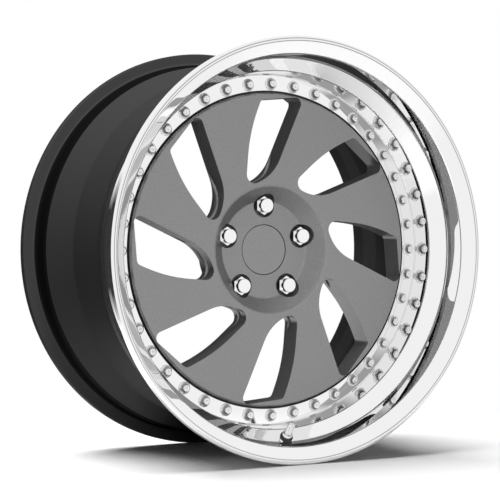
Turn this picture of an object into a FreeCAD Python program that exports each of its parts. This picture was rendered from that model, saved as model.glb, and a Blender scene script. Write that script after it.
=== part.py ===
"""Three-piece alloy wheel: stepped lip, barrel, eight-window centre disc and the hardware that holds them.

The wheel spins about Y, its street face looks towards -Y and +Z is up. The origin is the middle of the rim.
Every profile is drawn as radius and axial place, and turned about Y.
"""
import FreeCAD, Part
import math
import os

import Sketcher
from FreeCAD import Placement, Rotation, Vector

# Driving dimensions in millimetres, angles in degrees
SIZES = {
    # Rim, common to lip and barrel
    "rim_radius": 261.2,
    "rim_half_width": 140.0,
    "bead_seat_depth": 17.5,
    "bead_flange_thickness": 13.0,
    "bead_seat_width": 19.5,
    "bead_seat_drop": 1.8,
    "hump_rise": 2.8,
    "hump_half_width": 4.5,
    "bead_corner_round": 6.5,
    "rim_edge_round": 3.0,
    "well_drop": 16.2,
    "rim_wall": 4.6,
    # Bolted joint of lip, disc and barrel
    "lip_depth": 89.0,
    "lip_flange_thickness": 6.0,
    "disc_flange_thickness": 8.0,
    "barrel_flange_thickness": 6.0,
    "flange_width": 20.4,
    "disc_flange_inset": 3.4,
    "flange_register_gap": 0.5,
    "bolt_inset": 11.7,
    "bolt_count": 40,
    "bolt_radius": 3.5,
    "bolt_hole_gap": 0.2,
    # Steps of the lip, its step wall as deep as dish and slope leave it
    "step_root_drop": 7.1,
    "step_draft": 2.4,
    "step_root_round": 1.5,
    "step_shoulder_round": 4.0,
    "slope_width": 20.2,
    "slope_round": 8.0,
    "dish_depth": 42.8,
    "dish_draft": 1.0,
    "dish_wall": 4.1,
    "flare_depth": 11.0,
    "flare_round": 10.0,
    "flare_top_inset": 4.5,
    # Well of the barrel
    "rear_slope_width": 52.5,
    "well_round": 20.0,
    # Centre disc
    "disc_gap": 2.5,
    "disc_proud": 4.1,
    "disc_edge_chamfer": 2.0,
    "disc_edge_chamfer_depth": 3.0,
    "disc_rear_gap": 1.4,
    "disc_depth": 31.0,
    "recess_radius": 81.0,
    "pad_radius": 61.0,
    "pad_depth": 17.2,
    "pad_round": 5.0,
    "recess_round": 6.0,
    "hub_thickness": 28.8,
    "boss_root_radius": 85.0,
    "boss_radius": 79.0,
    "boss_round": 4.0,
    "window_count": 8,
    # Corners of one window, across its radius and along it from the disc's edge or the hub recess
    "head_left": 16.0,
    "head_left_land": 9.2,
    "head_left_round": 7.0,
    "head_right": 47.0,
    "head_right_land": 3.7,
    "head_right_round": 8.0,
    "foot_right": 1.2,
    "foot_right_land": 11.2,
    "foot_right_round": 56.0,
    "foot_left": 37.9,
    "foot_left_drop": 2.7,
    "foot_left_round": 11.0,
    "side_bend": 32.5,
    "side_bend_land": 66.0,
    "side_bend_round": 200.0,
    # Groove along the window's wall, deepest round its foot and running out at the disc's rear
    "groove_radius": 5.0,
    "groove_place": 16.0,
    "groove_tilt": 13.5,
    "groove_foot_round": 38.0,
    "groove_lead": 7.0,
    "groove_right": 24.0,
    "groove_right_land": 62.0,
    "groove_left": 34.0,
    "groove_left_land": 44.0,
    # Lightening pocket in the rear of each spoke
    "pocket_depth": 16.0,
    "pocket_round": 9.0,
    "pocket_foot": 20.0,
    "pocket_foot_land": 20.0,
    "pocket_head_left": 60.5,
    "pocket_head_left_land": 21.5,
    "pocket_head_right": 104.0,
    "pocket_head_right_land": 45.5,
    # Hub: centre bore, lug holes and cap
    "hub_bore_radius": 28.55,
    "hub_bore_length": 15.0,
    "cap_bore_radius": 27.5,
    "cap_recess_gap": 0.8,
    "cap_radius": 31.4,
    "cap_thickness": 7.0,
    "cap_wall": 2.5,
    "cap_spigot_length": 6.5,
    "cap_spigot_gap": 0.5,
    "cap_ring_section": 1.8,
    "cap_edge_round": 0.8,
    "lug_count": 5,
    "lug_circle_radius": 56.0,
    "lug_hole_radius": 7.5,
    "lug_pocket_radius": 15.0,
    "lug_pocket_depth": 16.0,
    "lug_seat_radius": 11.0,
    "lug_seat_height": 6.0,
    # Lug nut
    "nut_flats": 20.5,
    "nut_hex_length": 17.2,
    "nut_cap_radius": 9.2,
    "nut_cap_length": 8.0,
    "nut_cap_round": 1.0,
    "nut_bore_radius": 7.0,
    "nut_bore_depth": 16.0,
    # Assembly bolt and nut
    "bolt_flange_radius": 8.0,
    "bolt_flange_height": 3.2,
    "bolt_rim_height": 1.2,
    "bolt_head_radius": 4.2,
    "bolt_head_height": 7.4,
    "bolt_head_chamfer": 0.9,
    "bolt_dimple_radius": 1.6,
    "bolt_dimple_depth": 0.8,
    "bolt_tail": 2.5,
    "lock_nut_flats": 11.0,
    "lock_nut_height": 6.5,
    "washer_radius": 7.2,
    "washer_thickness": 1.4,
    # Sealant over the seam
    "seal_half_width": 8.0,
    "seal_edge_half_width": 4.0,
    "seal_thickness": 2.2,
    # Valve, square to the slope of the lip
    "valve_angle": 270.0,
    "valve_place": 0.62,
    "valve_hole_radius": 5.75,
    "valve_spot_gap": 0.4,
    "valve_shank_radius": 5.3,
    "valve_foot_radius": 8.5,
    "valve_foot_thickness": 3.5,
    "valve_seal_thickness": 1.6,
    "valve_grommet_radius": 8.1,
    "valve_grommet_thickness": 3.2,
    "valve_collar_radius": 6.5,
    "valve_collar_height": 4.0,
    "valve_stem_radius": 3.9,
    "valve_stem_length": 21.0,
    "valve_core_radius": 2.0,
    "valve_core_length": 16.0,
    "valve_cap_radius": 4.7,
    "valve_cap_length": 15.0,
    "valve_cap_wall": 0.7,
    "valve_cap_round": 1.2,
}

document = FreeCAD.newDocument("alloy_wheel")
sheet = document.addObject("Spreadsheet::Sheet", "sizes")
for row, (size_name, size) in enumerate(SIZES.items(), start=1):
    sheet.set(f"A{row}", size_name)
    sheet.set(f"B{row}", str(size))
    sheet.setAlias(f"B{row}", size_name)
document.recompute()


def bind(expression):
    """Expression with each size name pointing at its cell in the sheet."""
    words = []
    for word in expression.split():
        bare = word.strip("()")
        words.append(word.replace(bare, f"sizes.{bare}") if bare in SIZES else word)
    return " ".join(words)


def number(expression):
    """Value of an expression of sizes."""
    return float(sheet.evalExpression(bind(expression)))


def new_body(name):
    body = document.addObject("PartDesign::Body", name)
    body.Label = name
    return body


def origin_feature(body, role):
    return next(feature for feature in body.Origin.OriginFeatures if feature.Role == role)


def new_sketch(body, name, role="XY_Plane", lift="0"):
    """Sketch on one of the body's own planes, lifted along that plane's normal."""
    sketch = body.newObject("Sketcher::SketchObject", name)
    sketch.AttachmentSupport = (origin_feature(body, role), [""])
    sketch.MapMode = "FlatFace"
    sketch.setExpression("AttachmentOffset.Base.z", bind(lift))
    return sketch


def place_point(sketch, geometry, position, x, y):
    """Tie a point of the sketch to its two coordinates, given as expressions."""
    for kind, axis, expression in (("DistanceX", -2, x), ("DistanceY", -1, y)):
        amount = number(expression)
        if abs(amount) < 1e-9:
            sketch.addConstraint(Sketcher.Constraint("PointOnObject", geometry, position, axis))
        elif amount > 0:
            tie = sketch.addConstraint(Sketcher.Constraint(kind, -1, 1, geometry, position, amount))
            sketch.setExpression(f"Constraints[{tie}]", bind(expression))
        else:
            tie = sketch.addConstraint(Sketcher.Constraint(kind, geometry, position, -1, 1, -amount))
            sketch.setExpression(f"Constraints[{tie}]", bind(f"0 - ( {expression} )"))


def draw_outline(sketch, corners, closed=True):
    """Outline of straight runs; a corner is (x, y) or (x, y, rounding), all of them expressions."""
    count = len(corners)
    runs = count if closed else count - 1
    tips = [Vector(number(corner[0]), number(corner[1]), 0) for corner in corners]
    starts, ends, arcs = list(tips), list(tips), {}
    for i, corner in enumerate(corners):
        if len(corner) < 3:
            continue
        back = (tips[i - 1] - tips[i]).normalize()
        on = (tips[(i + 1) % count] - tips[i]).normalize()
        half = back.getAngle(on) / 2
        radius = number(corner[2])
        centre = tips[i] + (back + on).normalize() * (radius / math.sin(half))
        starts[i] = tips[i] + on * (radius / math.tan(half))
        ends[i] = tips[i] + back * (radius / math.tan(half))
        turns_left = back.cross(on).z < 0
        first, last = (ends[i], starts[i]) if turns_left else (starts[i], ends[i])
        first_angle = math.atan2(first.y - centre.y, first.x - centre.x)
        last_angle = math.atan2(last.y - centre.y, last.x - centre.x)
        circle = Part.Circle(centre, Vector(0, 0, 1), radius)
        arcs[i] = (Part.ArcOfCircle(circle, first_angle, last_angle), turns_left)
    lines = [
        sketch.addGeometry(Part.LineSegment(starts[i], ends[(i + 1) % count]), False) for i in range(runs)
    ]
    for i, corner in enumerate(corners):
        if not closed and i in (0, runs):
            place_point(sketch, lines[min(i, runs - 1)], 1 if i == 0 else 2, corner[0], corner[1])
            continue
        if i not in arcs:
            sketch.addConstraint(Sketcher.Constraint("Coincident", lines[i - 1], 2, lines[i], 1))
            place_point(sketch, lines[i], 1, corner[0], corner[1])
            continue
        curve, turns_left = arcs[i]
        arc = sketch.addGeometry(curve, False)
        tip = sketch.addGeometry(Part.Point(tips[i]), True)
        place_point(sketch, tip, 1, corner[0], corner[1])
        for line, line_end, arc_end in ((lines[i - 1], 2, 1 if turns_left else 2),
                                        (lines[i], 1, 2 if turns_left else 1)):
            sketch.addConstraint(Sketcher.Constraint("PointOnObject", tip, 1, line))
            sketch.addConstraint(Sketcher.Constraint("Tangent", line, line_end, arc, arc_end))
        tie = sketch.addConstraint(Sketcher.Constraint("Radius", arc, number(corner[2])))
        sketch.setExpression(f"Constraints[{tie}]", bind(corner[2]))


def turn(body, name, corners, kind="PartDesign::Revolution"):
    """Turn an outline of radius and axial place about Y, as material or as a groove."""
    sketch = new_sketch(body, f"{name}_profile")
    draw_outline(sketch, corners)
    feature = body.newObject(kind, name)
    feature.Profile = sketch
    feature.ReferenceAxis = (sketch, ["V_Axis"])
    feature.Angle = 360
    body.Tip = feature
    document.recompute()
    return feature


def cut_down(body, name, front, draw, depth=None):
    """Pocket from a plane in front of the body rearwards along +Y, right through where no depth is given."""
    sketch = new_sketch(body, f"{name}_outline", "XZ_Plane", front)
    draw(sketch)
    before = body.Shape.Volume
    pocket = body.newObject("PartDesign::Pocket", name)
    pocket.Profile = sketch
    pocket.Type = "ThroughAll" if depth is None else "Length"
    if depth is not None:
        pocket.setExpression("Length", bind(depth))
    body.Tip = pocket
    document.recompute()
    if not body.Shape.Volume < before - 1e-6:
        raise RuntimeError(f"{name} cuts nothing")
    return pocket


def draw_circle(x, y, radius):
    """Function that draws one circle, its place and radius given as expressions."""
    def draw(sketch):
        circle = Part.Circle(Vector(number(x), number(y), 0), Vector(0, 0, 1), number(radius))
        edge = sketch.addGeometry(circle, False)
        place_point(sketch, edge, 3, x, y)
        tie = sketch.addConstraint(Sketcher.Constraint("Radius", edge, number(radius)))
        sketch.setExpression(f"Constraints[{tie}]", bind(radius))
    return draw


def draw_hexagon(flats):
    """Function that draws a hexagon across the given flats, its corners up and down."""
    half, side = f"{flats} / 2", f"{flats} / sqrt(3)"
    corners = [("0", side), (f"0 - {half}", f"{side} / 2"), (f"0 - {half}", f"0 - {side} / 2"),
               ("0", f"0 - {side}"), (half, f"0 - {side} / 2"), (half, f"{side} / 2")]
    return lambda sketch: draw_outline(sketch, corners)


def pattern(body, name, feature, count):
    """Repeat a feature round the wheel's axis."""
    ring = body.newObject("PartDesign::PolarPattern", name)
    ring.Originals = [feature]
    ring.Axis = (origin_feature(body, "Y_Axis"), [""])
    ring.Angle = 360
    ring.setExpression("Occurrences", bind(count))
    body.Tip = ring
    document.recompute()
    return ring


def ring_of(name, body, count, radius, turned=True):
    """Group of separate copies of one body on a circle round the axis, turned with it or all alike."""
    group = document.addObject("Part::Feature", name)
    copies = []
    for index in range(round(number(count))):
        about_wheel = Rotation(Vector(0, -1, 0), 90.0 + 360.0 * index / number(count))
        place = about_wheel.multVec(Vector(number(radius), 0, 0))
        copy = body.Shape.copy()
        copy.Placement = Placement(place, about_wheel if turned else Rotation()).multiply(copy.Placement)
        copies.append(copy)
    group.Shape = Part.makeCompound(copies)
    group.Label = name
    return group


# Radii from the rim's edge inwards
BEAD_SEAT = "( rim_radius - bead_seat_depth )"
SEAT_LOW = f"( {BEAD_SEAT} - bead_seat_drop )"
WELL = f"( {BEAD_SEAT} - well_drop )"
STEP_ROOT = f"( {WELL} - step_root_drop )"
FLANGE_BORE = f"( {STEP_ROOT} - flange_width )"
BOLT_CIRCLE = f"( {STEP_ROOT} - bolt_inset )"
DISC_FLANGE = f"( {STEP_ROOT} - disc_flange_inset )"
DISC_EDGE = f"( {FLANGE_BORE} - disc_gap )"

# Axial planes of the bolted joint and the hub, front to rear
LIP_FRONT = "lip_depth - rim_half_width"
LIP_REAR = f"{LIP_FRONT} + lip_flange_thickness"
SEAM = f"{LIP_REAR} + disc_flange_thickness"
JOINT_REAR = f"{SEAM} + barrel_flange_thickness"
DISC_FRONT = f"{LIP_FRONT} - disc_proud"
DISC_REAR = f"{DISC_FRONT} + disc_depth"
PAD_FRONT = f"{LIP_FRONT} + pad_depth"
HUB_REAR = f"{PAD_FRONT} + hub_thickness"
LUG_FLOOR = f"{PAD_FRONT} + lug_pocket_depth"
CAP_SEAT = f"{PAD_FRONT} + cap_thickness"
BOLT_HOLE = "bolt_radius + bolt_hole_gap"
FRONT_CLEAR = "rim_half_width"

# Slope of the lip between its two steps, from shoulder to dish
FLARE = f"( {BEAD_SEAT} - dish_wall )"
SHOULDER_RADIUS = f"( {STEP_ROOT} + step_draft )"
SLOPE_END_RADIUS = f"( {FLARE} - dish_draft )"
SLOPE_RISE = f"( {SLOPE_END_RADIUS} - {SHOULDER_RADIUS} )"
SLOPE_END = "dish_depth - rim_half_width"
SHOULDER = f"{SLOPE_END} + slope_width"
SLOPE_LENGTH = f"sqrt( {SLOPE_RISE} ^ 2 + slope_width ^ 2 )"
SLOPE_OUT = f"rim_wall * slope_width / {SLOPE_LENGTH}"
SLOPE_BACK = f"rim_wall * {SLOPE_RISE} / {SLOPE_LENGTH}"
WELL_FRONT = (f"{SHOULDER} + {SLOPE_BACK} - ( {WELL} - {SHOULDER_RADIUS} - {SLOPE_OUT} )"
              f" * slope_width / {SLOPE_RISE}")

# Bead seats and humps, alike on lip and barrel
BEAD_FACE = "( rim_half_width - bead_flange_thickness )"
HUMP = f"( {BEAD_FACE} - bead_seat_width - hump_half_width )"
REAR_SLOPE_END = f"( {HUMP} - hump_half_width )"
WELL_END = f"( {REAR_SLOPE_END} - rear_slope_width )"


def build_lip():
    """Polished lip: bolting flange, step wall, slope, dish and rolled edge; bead seat and hump behind."""
    lip = new_body("outer_lip")
    turn(lip, "lip_section", [
        (FLANGE_BORE, LIP_FRONT),
        (STEP_ROOT, LIP_FRONT, "step_root_round"),
        (SHOULDER_RADIUS, SHOULDER, "step_shoulder_round"),
        (SLOPE_END_RADIUS, SLOPE_END, "slope_round"),
        (FLARE, "flare_depth - rim_half_width", "flare_round"),
        ("rim_radius - flare_top_inset", "0 - rim_half_width", "rim_edge_round"),
        ("rim_radius", "rim_edge_round - rim_half_width", "rim_edge_round / 2"),
        ("rim_radius", f"0 - {BEAD_FACE}", "rim_edge_round / 2"),
        (BEAD_SEAT, f"0 - {BEAD_FACE}", "bead_corner_round"),
        (SEAT_LOW, f"bead_seat_width - {BEAD_FACE}", "rim_edge_round"),
        (f"{SEAT_LOW} + hump_rise", f"0 - {HUMP}", "rim_edge_round"),
        (f"{SLOPE_END_RADIUS} + {SLOPE_OUT}", f"{SLOPE_END} + {SLOPE_BACK}", "rim_edge_round"),
        (WELL, WELL_FRONT, "bead_corner_round"),
        (WELL, SEAM),
        (f"{DISC_FLANGE} + flange_register_gap", SEAM),
        (f"{DISC_FLANGE} + flange_register_gap", LIP_REAR),
        (FLANGE_BORE, LIP_REAR),
    ])
    hole = cut_down(lip, "lip_bolt_hole", FRONT_CLEAR, draw_circle("0", BOLT_CIRCLE, BOLT_HOLE))
    pattern(lip, "lip_bolt_holes", hole, "bolt_count")
    return lip


def build_barrel():
    """Barrel: bolting flange, well, slope to the rear bead seat, hump, and a rear flange rolled outwards."""
    barrel = new_body("inner_barrel")
    slope = f"sqrt( rear_slope_width ^ 2 + ( {SEAT_LOW} - {WELL} ) ^ 2 )"
    inward = f"rim_wall * rear_slope_width / {slope}"
    rearward = f"rim_wall * ( {SEAT_LOW} - {WELL} ) / {slope}"
    turn(barrel, "barrel_section", [
        (FLANGE_BORE, SEAM),
        (WELL, SEAM),
        (WELL, WELL_END, "well_round"),
        (SEAT_LOW, REAR_SLOPE_END, "rim_edge_round"),
        (f"{SEAT_LOW} + hump_rise", HUMP, "rim_edge_round"),
        (SEAT_LOW, f"{HUMP} + hump_half_width", "rim_edge_round"),
        (BEAD_SEAT, BEAD_FACE, "bead_corner_round"),
        ("rim_radius", BEAD_FACE, "rim_edge_round / 2"),
        ("rim_radius", "rim_half_width - rim_edge_round", "rim_edge_round / 2"),
        ("rim_radius - flare_top_inset", "rim_half_width", "rim_edge_round"),
        (f"{BEAD_SEAT} - rim_wall", "rim_half_width - flare_depth", "flare_round"),
        (f"{SEAT_LOW} - {inward}", f"{REAR_SLOPE_END} + {rearward}", "well_round"),
        (f"{WELL} - {inward}", f"{WELL_END} + {rearward}", "well_round"),
        (f"{WELL} - {inward}", JOINT_REAR, "rim_edge_round"),
        (FLANGE_BORE, JOINT_REAR),
    ])
    hole = cut_down(barrel, "barrel_bolt_hole", FRONT_CLEAR, draw_circle("0", BOLT_CIRCLE, BOLT_HOLE))
    pattern(barrel, "barrel_bolt_holes", hole, "bolt_count")
    return barrel


def draw_window(sketch):
    """One slanted window, drawn where it points straight up."""
    draw_outline(sketch, [
        ("0 - foot_left", "recess_radius - foot_left_drop", "foot_left_round"),
        ("foot_right", "recess_radius + foot_right_land", "foot_right_round"),
        ("head_right", f"{DISC_EDGE} - head_right_land", "head_right_round"),
        ("0 - head_left", f"{DISC_EDGE} - head_left_land", "head_left_round"),
        ("0 - side_bend", "recess_radius + side_bend_land", "side_bend_round"),
    ])


def draw_spoke_pocket(sketch):
    """Three-cornered pocket between two windows."""
    draw_outline(sketch, [
        ("pocket_foot", "recess_radius + pocket_foot_land", "pocket_round"),
        ("pocket_head_right", f"{DISC_EDGE} - pocket_head_right_land", "pocket_round"),
        ("pocket_head_left", f"{DISC_EDGE} - pocket_head_left_land", "pocket_round"),
    ])


def build_disc():
    """Centre disc: turned blank with a conical hub recess, then windows, lug pockets and bolt holes."""
    disc = new_body("centre_disc")
    bore_end = f"{HUB_REAR} - hub_bore_length"
    cap_recess = "cap_radius + cap_recess_gap"
    turn(disc, "disc_blank", [
        ("hub_bore_radius", HUB_REAR),
        ("hub_bore_radius", bore_end),
        ("cap_bore_radius", bore_end),
        ("cap_bore_radius", CAP_SEAT),
        (cap_recess, CAP_SEAT),
        (cap_recess, PAD_FRONT),
        ("pad_radius", PAD_FRONT, "pad_round"),
        ("recess_radius", DISC_FRONT, "recess_round"),
        (f"{DISC_EDGE} - disc_edge_chamfer", DISC_FRONT),
        (DISC_EDGE, f"{DISC_FRONT} + disc_edge_chamfer_depth"),
        (DISC_EDGE, LIP_REAR),
        (DISC_FLANGE, LIP_REAR),
        (DISC_FLANGE, SEAM),
        (f"{FLANGE_BORE} - disc_rear_gap", SEAM),
        (f"{FLANGE_BORE} - disc_rear_gap", DISC_REAR),
        ("boss_root_radius", DISC_REAR, "boss_round"),
        ("boss_radius", HUB_REAR),
    ])
    window = cut_down(disc, "window", FRONT_CLEAR, draw_window)
    pattern(disc, "windows", window, "window_count")
    spoke_pocket = cut_down(disc, "spoke_pocket", f"pocket_depth - ( {DISC_REAR} )", draw_spoke_pocket)
    pattern(disc, "spoke_pockets", spoke_pocket, "window_count")
    hole = cut_down(disc, "disc_bolt_hole", FRONT_CLEAR, draw_circle("0", BOLT_CIRCLE, BOLT_HOLE))
    pattern(disc, "disc_bolt_holes", hole, "bolt_count")
    lug_pocket = cut_down(disc, "lug_pocket", FRONT_CLEAR,
                          draw_circle("0", "lug_circle_radius", "lug_pocket_radius"),
                          f"rim_half_width + {LUG_FLOOR}")
    pattern(disc, "lug_pockets", lug_pocket, "lug_count")
    lug_hole = cut_down(disc, "lug_hole", FRONT_CLEAR,
                        draw_circle("0", "lug_circle_radius", "lug_hole_radius"))
    pattern(disc, "lug_holes", lug_hole, "lug_count")
    seat_sketch = new_sketch(disc, "lug_seat_profile", "YZ_Plane")
    draw_outline(seat_sketch, [
        (LUG_FLOOR, "lug_circle_radius"),
        (f"{LUG_FLOOR} + lug_seat_height", "lug_circle_radius"),
        (f"{LUG_FLOOR} + lug_seat_height", "lug_circle_radius + lug_hole_radius"),
        (LUG_FLOOR, "lug_circle_radius + lug_seat_radius"),
    ])
    seat = disc.newObject("PartDesign::Groove", "lug_seat")
    seat.Profile = seat_sketch
    seat.ReferenceAxis = (seat_sketch, ["Edge1"])
    seat.Angle = 360
    disc.Tip = seat
    document.recompute()
    pattern(disc, "lug_seats", seat, "lug_count")
    return disc


def groove_disc(disc):
    """Disc with a round groove in each window's wall, which enters on both sides and follows the foot."""
    path = document.addObject("Sketcher::SketchObject", "groove_path")
    path.Placement.Rotation = Rotation(Vector(1, 0, 0), 90 - number("groove_tilt"))
    path.setExpression("Placement.Base.y", bind(f"{DISC_FRONT} + groove_place"))
    path.setExpression("Placement.Base.z", bind("recess_radius"))
    draw_outline(path, [
        ("0 - groove_left + groove_lead", "groove_left_land"),
        ("0 - foot_left", "0 - foot_left_drop", "foot_left_round"),
        ("foot_right", "foot_right_land", "groove_foot_round"),
        ("groove_right - groove_lead", "groove_right_land"),
    ], closed=False)
    document.recompute()
    runs = path.Shape.Edges
    section = document.addObject("Sketcher::SketchObject", "groove_section")
    along = runs[0].tangentAt(runs[0].FirstParameter)
    section.Placement = Placement(runs[0].valueAt(runs[0].FirstParameter), Rotation(Vector(0, 0, 1), along))
    draw_circle("0", "0", "groove_radius")(section)
    groove = document.addObject("Part::Sweep", "side_groove")
    groove.Sections = [section]
    groove.Spine = (path, [f"Edge{index}" for index in range(1, len(runs) + 1)])
    groove.Solid = True
    document.recompute()
    grooved = document.addObject("Part::Cut", "grooved_disc")
    grooved.Base = disc
    grooved.Tool = ring_of("side_grooves", groove, "window_count", "0")
    return grooved


def build_bolt():
    """Assembly bolt: domed flange, round head with a dimple, and a shank long enough for washer and nut."""
    bolt = new_body("assembly_bolt")
    shank_end = f"{JOINT_REAR} + washer_thickness + lock_nut_height + bolt_tail"
    head = f"{LIP_FRONT} - bolt_head_height"
    turn(bolt, "bolt_form", [
        ("0", shank_end),
        ("0", f"{head} + bolt_dimple_depth"),
        ("bolt_dimple_radius", head),
        ("bolt_head_radius - bolt_head_chamfer", head),
        ("bolt_head_radius", f"{head} + bolt_head_chamfer"),
        ("bolt_head_radius", f"{LIP_FRONT} - bolt_flange_height"),
        ("bolt_flange_radius", f"{LIP_FRONT} - bolt_rim_height"),
        ("bolt_flange_radius", LIP_FRONT),
        ("bolt_radius", LIP_FRONT),
        ("bolt_radius", shank_end),
    ])
    return bolt


def build_washer():
    """Plain washer behind the barrel's flange."""
    washer = new_body("assembly_washer")
    turn(washer, "washer_form", [
        (BOLT_HOLE, JOINT_REAR),
        ("washer_radius", JOINT_REAR),
        ("washer_radius", f"{JOINT_REAR} + washer_thickness"),
        (BOLT_HOLE, f"{JOINT_REAR} + washer_thickness"),
    ])
    return washer


def pad_hexagon(body, name, flats, front, length):
    """Hexagonal prism from an axial place rearwards."""
    sketch = new_sketch(body, f"{name}_outline", "XZ_Plane", f"0 - ( {front} )")
    draw_hexagon(flats)(sketch)
    prism = body.newObject("PartDesign::Pad", name)
    prism.Profile = sketch
    prism.Reversed = True
    prism.setExpression("Length", bind(length))
    body.Tip = prism
    document.recompute()
    return prism


def build_lock_nut():
    """Nut of an assembly bolt."""
    nut = new_body("assembly_nut")
    front = f"{JOINT_REAR} + washer_thickness"
    pad_hexagon(nut, "lock_nut_hexagon", "lock_nut_flats", front, "lock_nut_height")
    cut_down(nut, "lock_nut_bore", FRONT_CLEAR, draw_circle("0", "0", BOLT_HOLE))
    return nut


def build_lug_nut():
    """Closed lug nut: conical seat, hexagon, plain round cap, and a blind bore for the stud."""
    nut = new_body("lug_nut")
    hex_rear = LUG_FLOOR
    hex_front = f"{LUG_FLOOR} - nut_hex_length"
    cap_front = f"{hex_front} - nut_cap_length"
    seat_end = f"{LUG_FLOOR} + lug_seat_height"
    pad_hexagon(nut, "nut_hexagon", "nut_flats", hex_front, "nut_hex_length")
    turn(nut, "nut_core", [
        ("0", seat_end),
        ("0", cap_front),
        ("nut_cap_radius", cap_front, "nut_cap_round"),
        ("nut_cap_radius", hex_rear),
        ("nut_flats / 2", hex_rear),
        ("lug_hole_radius", seat_end),
    ])
    bore_front = f"{seat_end} - nut_bore_depth"
    turn(nut, "nut_bore", [
        ("0", seat_end),
        ("0", bore_front),
        ("nut_bore_radius", bore_front),
        ("nut_bore_radius", seat_end),
    ], "PartDesign::Groove")
    return nut


def build_cap():
    """Centre cap: flush round face, hollow behind, with a spigot and a ring groove in the centre bore."""
    cap = new_body("centre_cap")
    spigot = "cap_bore_radius - cap_spigot_gap"
    spigot_end = f"{CAP_SEAT} + cap_spigot_length"
    groove_front = f"{CAP_SEAT} + ( cap_spigot_length - cap_ring_section ) / 2"
    groove_floor = "cap_bore_radius - cap_ring_section"
    turn(cap, "cap_form", [
        ("0", PAD_FRONT),
        ("cap_radius", PAD_FRONT, "cap_edge_round"),
        ("cap_radius", CAP_SEAT),
        (spigot, CAP_SEAT),
        (spigot, groove_front),
        (groove_floor, groove_front),
        (groove_floor, f"{groove_front} + cap_ring_section"),
        (spigot, f"{groove_front} + cap_ring_section"),
        (spigot, spigot_end),
        (f"{groove_floor} - cap_wall", spigot_end),
        (f"{groove_floor} - cap_wall", f"{PAD_FRONT} + cap_wall"),
        ("0", f"{PAD_FRONT} + cap_wall"),
    ])
    ring = new_body("cap_ring")
    turn(ring, "ring_form", [
        (groove_floor, groove_front),
        ("cap_bore_radius", groove_front),
        ("cap_bore_radius", f"{groove_front} + cap_ring_section"),
        (groove_floor, f"{groove_front} + cap_ring_section"),
    ])
    return cap, ring


def build_sealant():
    """Bead of sealant over the seam of lip and barrel, on the tyre side."""
    bead = new_body("seam_sealant")
    turn(bead, "sealant_section", [
        (WELL, f"{SEAM} - seal_half_width"),
        (WELL, f"{SEAM} + seal_half_width"),
        (f"{WELL} + seal_thickness", f"{SEAM} + seal_edge_half_width"),
        (f"{WELL} + seal_thickness", f"{SEAM} - seal_edge_half_width"),
    ])
    return bead


def valve_frame():
    """Placement that takes Y to the direction out of the slope, its foot at the valve's place on the lip."""
    place = number("valve_place")
    radius = number(SHOULDER_RADIUS) + place * number(SLOPE_RISE)
    axial = number(SHOULDER) - place * number("slope_width")
    inward = number("slope_width") / number(SLOPE_LENGTH)
    forward = number(SLOPE_RISE) / number(SLOPE_LENGTH)
    tilt = Rotation(Vector(0, 1, 0), Vector(-inward, -forward, 0))
    about_wheel = Placement(Vector(), Rotation(Vector(0, -1, 0), number("valve_angle")))
    return about_wheel.multiply(Placement(Vector(radius, axial, 0), tilt))


def cutter(name, frame, radius, base, height):
    """Cylinder along the valve's axis, from a place on that axis outwards."""
    cylinder = document.addObject("Part::Cylinder", name)
    cylinder.setExpression("Radius", bind(radius))
    cylinder.setExpression("Height", bind(height))
    along = Placement(Vector(0, number(base), 0), Rotation(Vector(0, 0, 1), Vector(0, 1, 0)))
    cylinder.Placement = frame.multiply(along)
    return cylinder


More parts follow.
